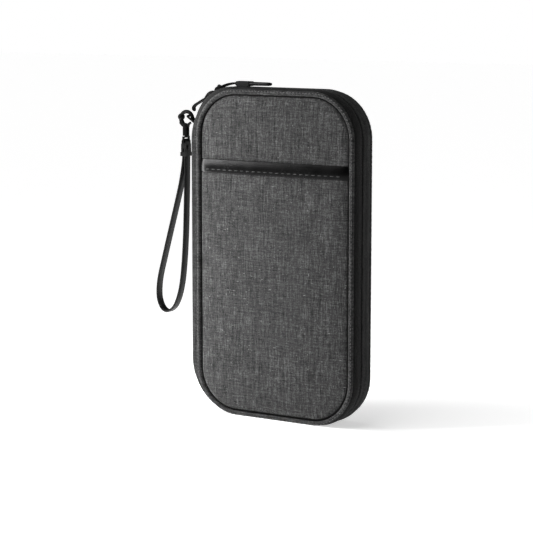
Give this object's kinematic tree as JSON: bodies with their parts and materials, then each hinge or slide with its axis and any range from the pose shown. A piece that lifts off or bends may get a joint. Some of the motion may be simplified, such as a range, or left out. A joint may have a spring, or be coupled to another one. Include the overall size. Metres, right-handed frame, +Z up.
{
  "type": "passport holder wallet",
  "caption": "Zip-around passport holder wallet with fabric covers, piped edges, a slip pocket with leather binding, inner pockets and a wrist strap on a swivel snap hook.",
  "frame": {"origin": "centre of the bottom edge that the wallet stands on, on the plane where its two halves meet", "axes": "+X from the spine to the opening edge, +Y from the front cover to the back cover, +Z up"},
  "size_m": [0.1812, 0.0309, 0.2511],
  "materials": {
    "melange_fabric": "heathered charcoal melange weave, dull",
    "piping_fabric": "heathered charcoal weave over a round cord",
    "dark_gusset": "dark woven gusset",
    "zip_tape": "black herringbone zip tape",
    "zip_coil": "black nylon coil",
    "black_leather": "black grained leather, satin",
    "black_thread": "black polyester thread",
    "foam_board": "foam stiffener",
    "grey_lining": "dark grey plain-weave lining",
    "black_mesh": "black warp-knit mesh",
    "dark_metal": "black lacquered zinc, semi-gloss",
    "black_rubber": "black moulded rubber, matte"
  },
  "bodies": {
    "back_shell": {"back_panel": "melange_fabric", "back_board": "foam_board", "back_lining": "grey_lining", "back_piping": "piping_fabric", "back_band": "dark_gusset", "back_zip_tape": "zip_tape", "back_zip_coil": "zip_coil", "spine_back": "melange_fabric", "document_sleeve": "grey_lining", "card_pocket_1": "grey_lining", "card_pocket_2": "grey_lining", "card_pocket_3": "grey_lining", "passport_pocket_rear": "grey_lining", "passport_pocket_front": "grey_lining", "zip_stops": "dark_metal", "slider_b": "dark_metal"},
    "front_shell": {"front_panel": "melange_fabric", "front_pocket": "melange_fabric", "pocket_trim": "black_leather", "trim_stitching": "black_thread", "front_board": "foam_board", "front_lining": "grey_lining", "front_piping": "piping_fabric", "front_band": "dark_gusset", "front_zip_tape": "zip_tape", "front_zip_coil": "zip_coil", "spine_front": "melange_fabric", "mesh_pocket": "black_mesh", "boarding_pocket": "grey_lining", "inner_zip_tape": "zip_tape", "inner_zip_coil": "zip_coil"},
    "inner_zip_slider": {"inner_slider": "dark_metal"},
    "inner_zip_pull": {"inner_pull": "black_leather"},
    "zip_slider_a": {"slider_a": "dark_metal"},
    "pull_cord": {"pull_link": "black_leather"},
    "pull_handle": {"pull_keeper": "black_rubber", "pull_tab": "black_rubber"},
    "ring_pull_b": {"wire_pull": "dark_metal"},
    "strap_anchor": {"ring_tab": "zip_tape"},
    "strap_ring": {"d_ring": "dark_metal"},
    "hook": {"snap_hook": "dark_metal", "gate_pin": "dark_metal"},
    "hook_lever": {"hook_gate": "dark_metal"},
    "swivel": {"swivel_eye": "dark_metal"},
    "strap": {"strap_tab": "black_leather", "wrist_strap": "black_leather", "strap_keeper": "black_leather", "strap_rivet": "dark_metal"}
  },
  "joints": [
    {"name": "cover_open", "type": "hinge", "parent": "back_shell", "child": "front_shell", "pos_m": [-0.0775, 0, 0.123], "axis": [0, 0, -1], "range_deg": [0, 140]},
    {"name": "inner_zip_run", "type": "slide", "parent": "front_shell", "child": "inner_zip_slider", "axis": [1, 0, 0], "range_m": [0, 0.1]},
    {"name": "inner_pull_swing", "type": "hinge", "parent": "inner_zip_slider", "child": "inner_zip_pull", "pos_m": [-0.05, -0.0058, 0.1265], "axis": [1, 0, 0], "range_deg": [0, 40]},
    {"name": "zip_run_a", "type": "hinge", "parent": "back_shell", "child": "zip_slider_a", "pos_m": [-0.0362, 0, 0.205], "axis": [0, 1, 0], "range_deg": [0, 28]},
    {"name": "pull_cord_turn", "type": "hinge", "parent": "zip_slider_a", "child": "pull_cord", "pos_m": [-0.05721, 0, 0.24451], "axis": [0, -1, 0], "range_deg": [0, 28]},
    {"name": "pull_handle_lift", "type": "hinge", "parent": "pull_cord", "child": "pull_handle", "pos_m": [-0.0394, 0, 0.2495], "axis": [0, -1, 0], "range_deg": [0, 85]},
    {"name": "ring_pull_b_swing", "type": "hinge", "parent": "back_shell", "child": "ring_pull_b", "pos_m": [-0.06672, 0, 0.23773], "axis": [0, 1, 0], "range_deg": [0, 100]},
    {"name": "anchor_turn", "type": "hinge", "parent": "back_shell", "child": "strap_anchor", "pos_m": [-0.0775, 0, 0.2188], "axis": [0, 0, -1], "range_deg": [0, 70]},
    {"name": "strap_ring_lift", "type": "hinge", "parent": "strap_anchor", "child": "strap_ring", "pos_m": [-0.0769, 0, 0.2188], "axis": [0, 1, 0], "range_deg": [0, 12]},
    {"name": "hook_swing", "type": "hinge", "parent": "strap_ring", "child": "hook", "pos_m": [-0.0839, 0, 0.2236], "axis": [0, 1, 0], "range_deg": [0, 60]},
    {"name": "hook_lever_press", "type": "hinge", "parent": "hook", "child": "hook_lever", "pos_m": [-0.0846, 0, 0.2166], "axis": [0, -1, 0], "range_deg": [0, 20], "stiffness_Nm_per_rad": 0.01},
    {"name": "swivel_turn", "type": "hinge", "parent": "hook", "child": "swivel", "pos_m": [-0.0865, 0, 0.21], "axis": [0, 0, 1], "range_deg": [-30, 30]},
    {"name": "strap_swing", "type": "hinge", "parent": "swivel", "child": "strap", "pos_m": [-0.0865, 0, 0.20395], "axis": [0, 1, 0], "range_deg": [0, 40]}
  ],
  "couplings": [
    {"joint": "pull_cord_turn", "follows": "zip_run_a", "ratio": 1},
    {"joint": "anchor_turn", "follows": "cover_open", "ratio": 0.5}
  ]
}
